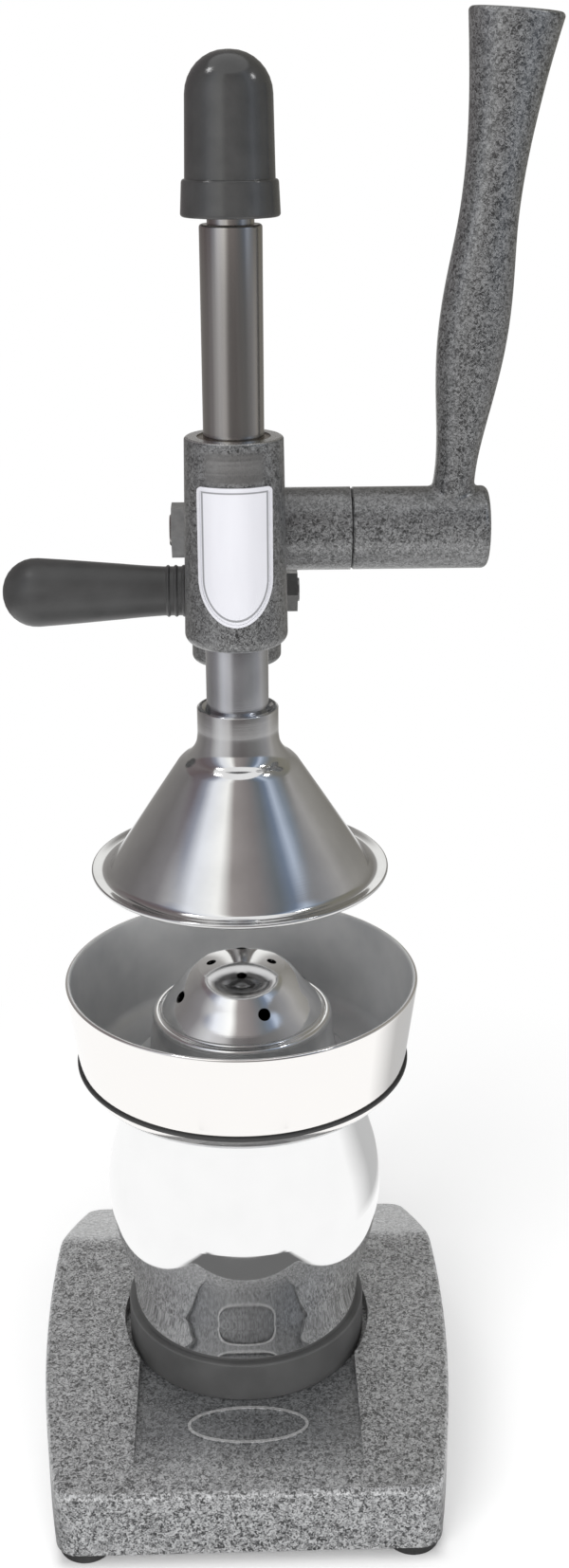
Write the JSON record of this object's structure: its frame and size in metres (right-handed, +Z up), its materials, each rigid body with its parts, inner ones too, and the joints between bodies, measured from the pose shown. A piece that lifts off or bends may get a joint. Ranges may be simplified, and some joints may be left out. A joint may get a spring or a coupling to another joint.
{
  "type": "citrus press juicer",
  "caption": "Hand lever citrus press: a lever and gear drive a rack ram with a cone down on a strainer over a bowl and pot, on a cast base with a rear post.",
  "frame": {"origin": "on the table under the middle of the whole object's box, with the lever up", "axes": "+Z up along the ram, -Y towards the operator, +X to the operator's right where the lever is"},
  "size_m": [0.2677, 0.28, 0.7173],
  "materials": {
    "hammertone_base": "grey hammertone enamel on cast iron",
    "hammertone_head": "grey hammertone enamel on cast aluminium",
    "steel": "ground and polished bar steel",
    "zinc": "zinc plated fasteners",
    "bronze": "sintered bronze bushes",
    "polished_aluminium": "mirror polished aluminium",
    "satin_aluminium": "satin turned aluminium",
    "polished_steel": "mirror polished spun steel",
    "rubber": "black rubber",
    "black_plastic": "black moulded plastic",
    "badge": "blank silver plate with a thin dark border"
  },
  "bodies": {
    "stand": {"base_casting": "hammertone_base", "rubber_feet": "rubber", "foot_screws": "zinc", "rear_post": "steel", "post_washer": "zinc", "post_nut": "zinc", "head_casting": "hammertone_head", "upper_guide_bush": "bronze", "lower_guide_bush": "bronze", "gear_cover": "hammertone_head", "cover_ring": "zinc", "shaft_bush_left": "bronze", "shaft_bush_right": "bronze", "clamp_screws": "zinc", "clamp_nuts": "zinc", "badge_plate": "badge", "grip": "black_plastic", "grip_stud": "zinc", "grip_washer": "zinc", "grip_nut": "zinc"},
    "ram": {"ram": "steel", "ram_cap": "rubber", "stop_sleeve": "satin_aluminium", "press_cone": "polished_aluminium", "cone_washer": "zinc", "cone_screw": "zinc"},
    "lever": {"lever": "hammertone_head", "pinion_gear": "steel", "gear_key": "steel", "pinion_shaft": "steel", "shaft_washer": "zinc", "shaft_nut": "zinc", "lever_pin": "steel"},
    "pot": {"juice_pot": "polished_steel", "pot_ring": "rubber"},
    "bowl": {"juice_bowl": "polished_aluminium", "bowl_band": "rubber"},
    "strainer": {"strainer": "polished_aluminium"}
  },
  "joints": [
    {"name": "lever_turn", "type": "hinge", "parent": "stand", "child": "lever", "pos_m": [0.02548, 0.0215, 0.4853], "axis": [-1, 0, 0], "range_deg": [-178.25, 0]},
    {"name": "ram_slide", "type": "slide", "parent": "stand", "child": "ram", "axis": [0, 0, 1], "range_m": [-0.07, 0]},
    {"name": "pot_lift", "type": "slide", "parent": "stand", "child": "pot", "axis": [0, 0, 1], "range_m": [0, 0.012]},
    {"name": "bowl_lift", "type": "slide", "parent": "pot", "child": "bowl", "axis": [0, 0, 1], "range_m": [0, 0.008]},
    {"name": "strainer_lift", "type": "slide", "parent": "bowl", "child": "strainer", "axis": [0, 0, 1], "range_m": [0, 0.004]}
  ],
  "couplings": [
    {"joint": "ram_slide", "follows": "lever_turn", "m_per_rad": 0.0225}
  ]
}
